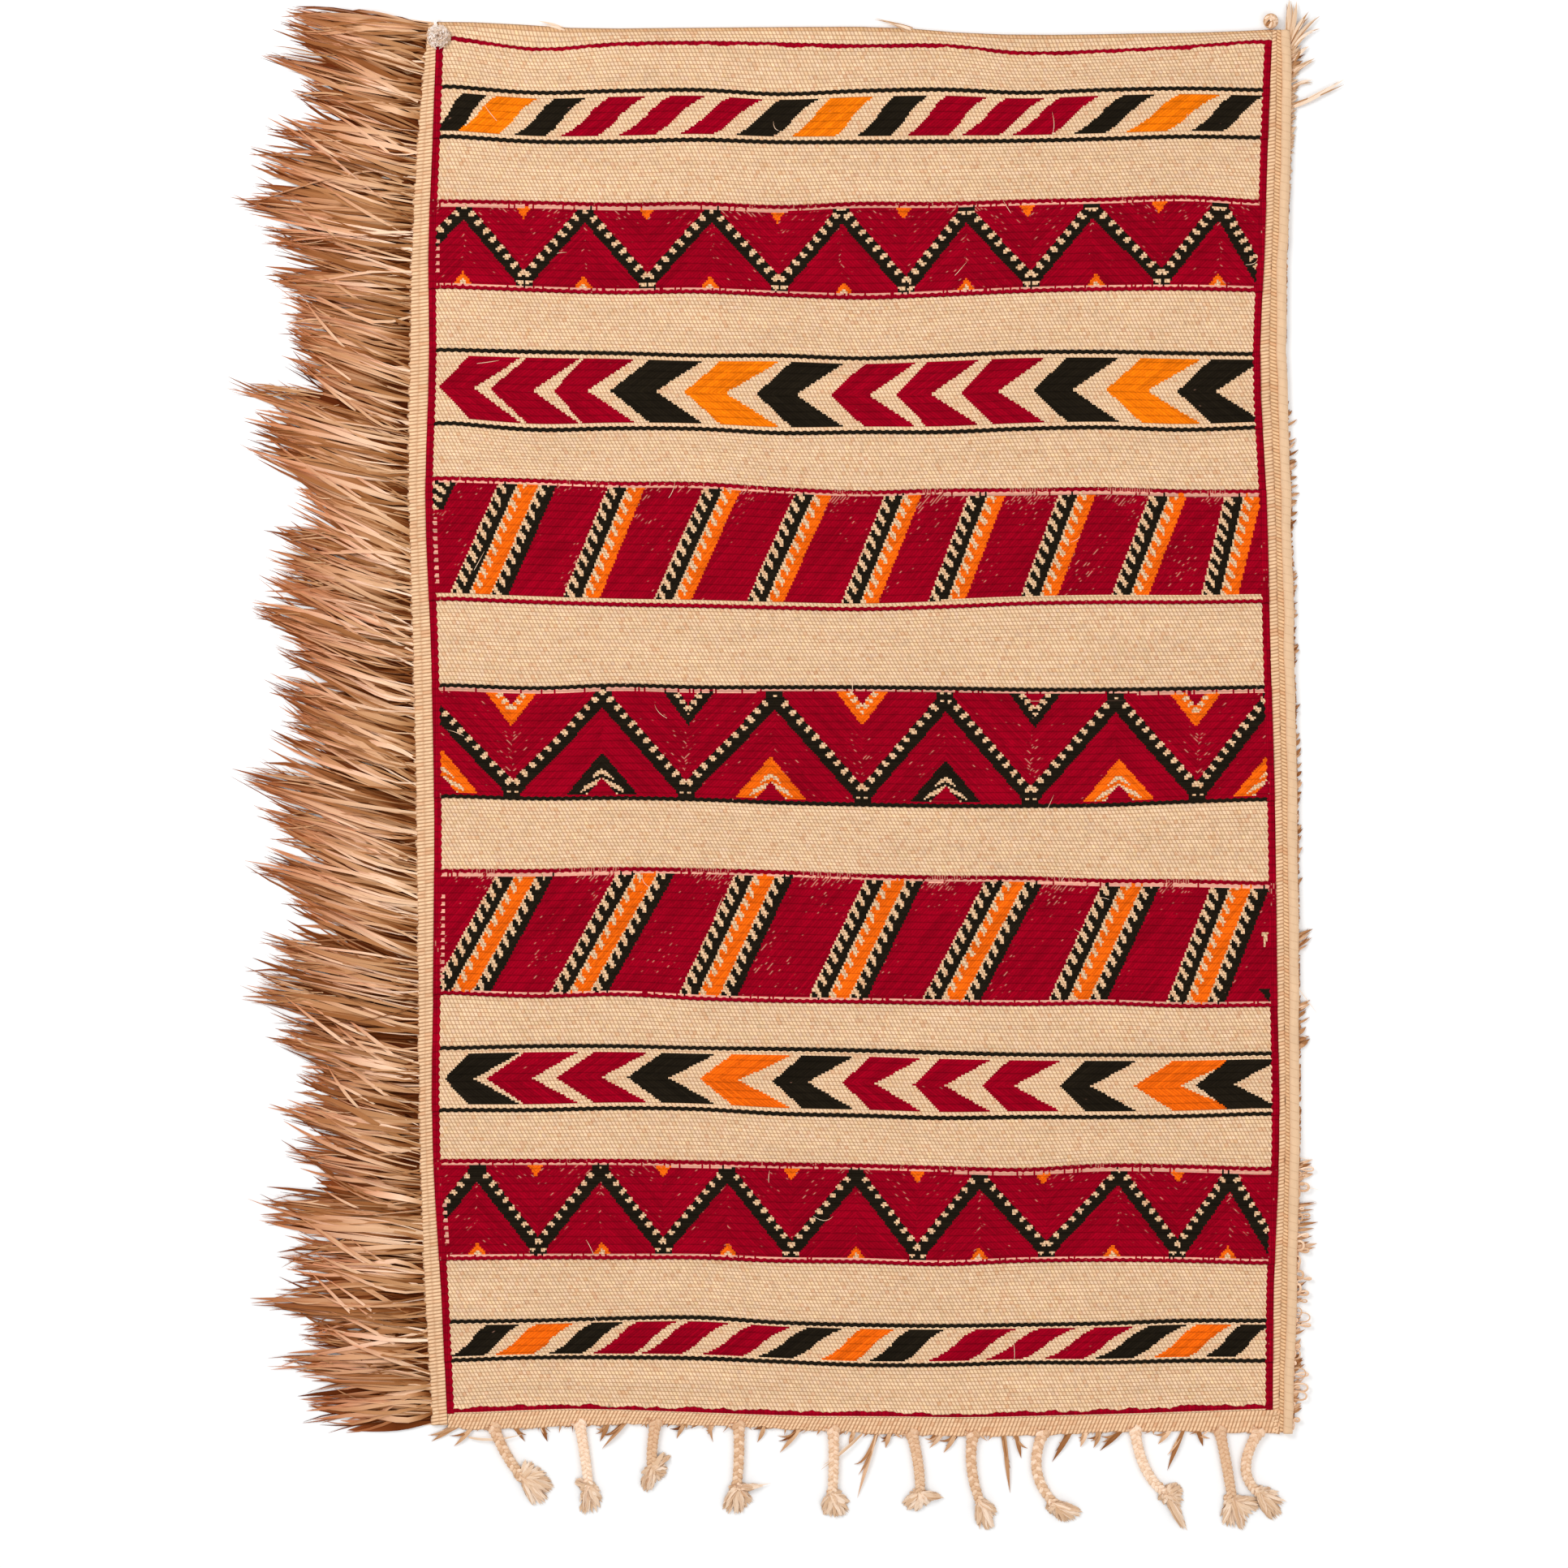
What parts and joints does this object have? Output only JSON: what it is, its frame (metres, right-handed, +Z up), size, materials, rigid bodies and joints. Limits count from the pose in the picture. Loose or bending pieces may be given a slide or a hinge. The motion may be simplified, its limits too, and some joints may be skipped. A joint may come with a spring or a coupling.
{
  "type": "palm fibre rug",
  "caption": "Flat palm fibre rug with wool motif bands, a long palm fringe on one side, a rolled binding on the other and plaited ends below.",
  "frame": {"origin": "middle of the cloth's underside, on the floor", "axes": "+Z up out of the floor, +Y up the rug's length, +X from the fringed edge to the rolled edge"},
  "size_m": [1.1796, 1.63, 0.0122],
  "materials": {
    "woven_palm": "matt twined palm with wool bands",
    "palm_fringe": "dry palm leaf strips, satin",
    "palm_binding": "matt wrapped palm",
    "plaited_ends": "matt plaited yarn",
    "red_wool": "matt dyed wool, deep red",
    "dark_wool": "matt wool, near black",
    "orange_wool": "matt dyed wool, orange",
    "white_wool": "fluffy undyed wool",
    "pale_knot": "matt wound yarn"
  },
  "bodies": {
    "root": {"cloth": "woven_palm", "left_fringe": "palm_fringe", "right_binding": "palm_binding", "bottom_fringe": "plaited_ends", "corner_knot_top_left": "white_wool", "corner_knot_top_right": "pale_knot"}
  },
  "joints": []
}
